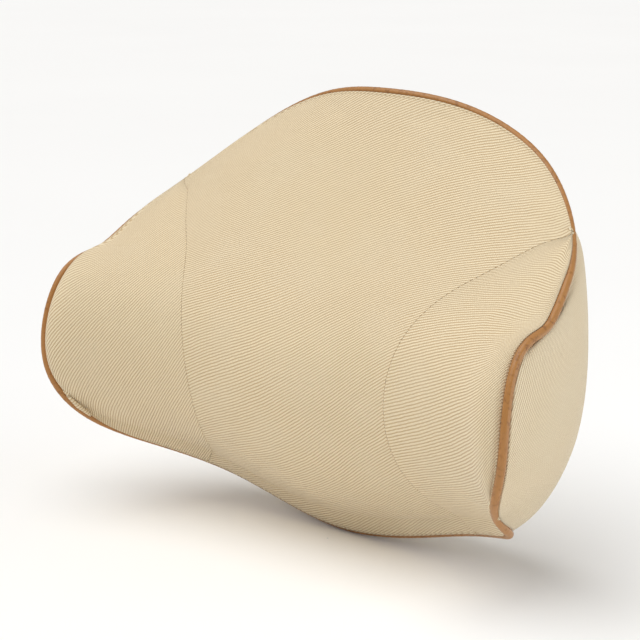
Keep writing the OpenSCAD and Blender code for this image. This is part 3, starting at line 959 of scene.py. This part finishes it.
class NECKPILLOW_OT_stitching(PieceOperator, bpy.types.Operator):
    """Make the stitches in the seams and round the zip's opening, and the opening's hem"""

    bl_idname = "neck_pillow.stitching"
    bl_label = "Stitching"

    def execute(self, context):
        shape, trim = context.scene.neck_pillow_shape, context.scene.neck_pillow_trim
        look = context.scene.neck_pillow_look
        thread = spun("seam_thread", look.thread, 0.5)
        v = np.linspace(STITCH_FROM, STITCH_TO, 300)
        zero = np.zeros_like(v)
        for sign, side in ((-1, "left"), (1, "right")):
            u = sign * seam_at(v)
            path = side_point(shape, "front", u, v, 0.0, shape.edge_rise, PANEL_REACH, PANEL_REACH, zero)
            path = path + swelling("front", u, v)
            up = front_way(u, v)
            path = path - up * STITCH_SINK
            stitches(
                trim, path, up, side + "_seam_stitches", thread, (side + "_seam_thread",)
            )
        self.hem(trim, shape, look)
        return {"FINISHED"}

    def hem(self, trim, shape, look):
        """Folded hem round the opening: a low arch of hem_w by hem_h carried round a rounded rectangle."""
        half_l, half_w, corner = trim.slot_l / 2, trim.slot_w / 2, 1.6
        turn = (np.linspace(0, 1, 9) + np.arange(4)[:, None]) * math.pi / 2
        outward = np.stack([np.cos(turn), np.sin(turn)], -1).reshape(-1, 2)
        centres = np.array([[1, 1], [-1, 1], [-1, -1], [1, -1]]) * [half_l - corner, half_w - corner]
        line = np.repeat(centres, 9, axis=0) + corner * outward
        arch = np.linspace(0, math.pi, 9)
        reach = -0.15 + (trim.hem_w + 0.15) * (1 - np.cos(arch)) / 2
        rise = trim.hem_h * np.sin(arch) - 0.05
        reach = np.append(reach, [trim.hem_w, -0.15])
        rise = np.append(rise, [-0.7, -0.7])
        flat = line[:, None] + outward[:, None] * reach[:, None]
        height = np.broadcast_to(shape.flat_y + rise, flat.shape[:2])
        points = np.stack([flat[..., 0], height, trim.slot_z + flat[..., 1]], -1)
        faces = grid_faces(*points.shape[:2], close_rows=True, close_cols=True)
        finish = twill(look, "zip_hem_twill", 0, "cloth")
        make_piece("zip_opening_hem", points, faces, finish, cloth_lengths(points))
        thread = bpy.data.materials["seam_thread"]
        outline = line + outward * (trim.hem_w + 1.2)
        outline = np.vstack([outline, outline[:1]])
        depth = np.full(len(outline), shape.flat_y)
        path = np.stack([outline[:, 0], depth, trim.slot_z + outline[:, 1]], -1)
        up = np.broadcast_to([0.0, 1.0, 0.0], path.shape)
        stitches(trim, path, up, "zip_opening_stitches", thread, closed=True)


class NECKPILLOW_OT_zip(PieceOperator, bpy.types.Operator):
    """Give the zip's parts and the piping's cord their finishes"""

    bl_idname = "neck_pillow.zip"
    bl_label = "Zip finishes"

    def execute(self, context):
        look = context.scene.neck_pillow_look
        metal = brushed_metal("zip_metal", look.metal)
        finishes = {
            "zip_slider": metal, "zip_pull": metal, "zip_top_stops": metal, "zip_bottom_stop": metal,
            "zip_upper_tape": plain_weave("zip_tape_weave", look.tape, 0.5),
            "zip_upper_teeth": brushed_metal("zip_teeth_metal", look.metal, 0.36),
            "zip_bar_tacks": spun("bar_tack_thread", look.tape, 0.45),
            "piping_filler": spun("piping_cord", (0.92, 0.90, 0.85), 1.2),
        }
        finishes["zip_lower_tape"] = finishes["zip_upper_tape"]
        finishes["zip_lower_teeth"] = finishes["zip_upper_teeth"]
        for name, finish in finishes.items():
            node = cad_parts[name]
            node.data.materials.clear()
            node.data.materials.append(finish)
        return {"FINISHED"}


class NECKPILLOW_OT_stage(PieceOperator, bpy.types.Operator):
    """Make the floor, the lights and the camera"""

    bl_idname = "neck_pillow.stage"
    bl_label = "Stage"

    def execute(self, context):
        stage = context.scene.neck_pillow_stage
        scene = context.scene
        ring = np.linspace(0, 2 * math.pi, 96, endpoint=False)
        radii = np.array([0.0005, 0.5, 2, 8, 40])
        floor_points = np.stack(
            [radii[:, None] * np.cos(ring), radii[:, None] * np.sin(ring), np.zeros((5, 96))], -1
        )
        mesh = bpy.data.meshes.new("floor")
        faces = grid_faces(5, 96, close_cols=True, flip=True)
        mesh.from_pydata(floor_points.reshape(-1, 3).tolist(), [], faces.tolist())
        mesh.materials.append(pale_floor())
        floor = bpy.data.objects.new("floor", mesh)
        scene.collection.objects.link(floor)

        az, el = math.radians(stage.azimuth), math.radians(stage.elevation)
        back = np.array([math.sin(az) * math.cos(el), -math.cos(az) * math.cos(el), math.sin(el)])
        right = np.array([math.cos(az), math.sin(az), 0.0])
        up = np.cross(back, right)
        roll = math.radians(stage.roll)
        turned_right = right * math.cos(roll) + up * math.sin(roll)
        turned_up = up * math.cos(roll) - right * math.sin(roll)
        aim = np.array([0.0, -2.0, 120.0])
        camera = bpy.data.cameras.new("camera")
        camera.lens, camera.sensor_width = stage.lens, 36
        camera.shift_x, camera.shift_y = -0.0092, -0.0422
        seat = bpy.data.objects.new("camera", camera)
        scene.collection.objects.link(seat)
        matrix = np.eye(4)
        matrix[:3, 0], matrix[:3, 1], matrix[:3, 2] = turned_right, turned_up, back
        matrix[:3, 3] = (aim + back * stage.distance) * MM
        seat.matrix_world = Matrix(matrix.tolist())
        scene.camera = seat

        self.lamp(scene, "soft_sun", "SUN", stage.sun, (1.0, 0.98, 0.94), (-0.2, -0.3, 0.95), angle=1.2)
        self.lamp(scene, "side_fill", "AREA", stage.fill, (0.86, 0.93, 1.0), (0.95, 0.25, 0.25), size=0.7)
        world = bpy.data.worlds.new("studio")
        world.use_nodes = True
        world.node_tree.nodes["Background"].inputs["Color"].default_value = (0.97, 0.98, 1.0, 1.0)
        world.node_tree.nodes["Background"].inputs["Strength"].default_value = stage.sky
        scene.world = world
        scene.view_settings.view_transform = "Standard"
        scene.view_settings.look = "None"
        return {"FINISHED"}

    @staticmethod
    def lamp(scene, name, kind, power, shade, where, angle=None, size=None):
        """A light in that direction from the pillow's middle, looking at it."""
        lamp = bpy.data.lights.new(name, kind)
        lamp.energy, lamp.color = power, shade
        if angle:
            lamp.angle = angle
        if size:
            lamp.shape, lamp.size = "SQUARE", size
        seat = bpy.data.objects.new(name, lamp)
        scene.collection.objects.link(seat)
        middle_of = Vector((0.0, 0.0, 0.1))
        seat.location = middle_of + Vector(where)
        seat.rotation_euler = Vector(where).to_track_quat("Z", "Y").to_euler()
        return seat


class NECKPILLOW_PT_panel(bpy.types.Panel):
    """Lists the pillow's pieces and sizes"""

    bl_label = "Neck Pillow"
    bl_space_type = "VIEW_3D"
    bl_region_type = "UI"
    bl_category = "Neck Pillow"

    def draw(self, context):
        for operator in STEPS:
            self.layout.operator(operator.bl_idname)
        for name in GROUPS:
            group = getattr(context.scene, name)
            box = self.layout.box()
            for key in group.bl_rna.properties.keys():
                if key not in ("rna_type", "name"):
                    box.prop(group, key)


GROUPS = {
    "neck_pillow_shape": NeckPillowShape,
    "neck_pillow_trim": NeckPillowTrim,
    "neck_pillow_look": NeckPillowLook,
    "neck_pillow_stage": NeckPillowStage,
}
STEPS = (
    NECKPILLOW_OT_cushion,
    NECKPILLOW_OT_cover,
    NECKPILLOW_OT_piping,
    NECKPILLOW_OT_stitching,
    NECKPILLOW_OT_zip,
    NECKPILLOW_OT_stage,
)
CLASSES = (*GROUPS.values(), *STEPS, NECKPILLOW_PT_panel)


def register():
    for made in CLASSES:
        bpy.utils.register_class(made)
    for name, group in GROUPS.items():
        setattr(bpy.types.Scene, name, PointerProperty(type=group))


def unregister():
    for name in GROUPS:
        delattr(bpy.types.Scene, name)
    for made in reversed(CLASSES):
        bpy.utils.unregister_class(made)


def main():
    register()
    for step in STEPS:
        group, name = step.bl_idname.split(".")
        getattr(getattr(bpy.ops, group), name)()


if __name__ == "__main__":
    main()
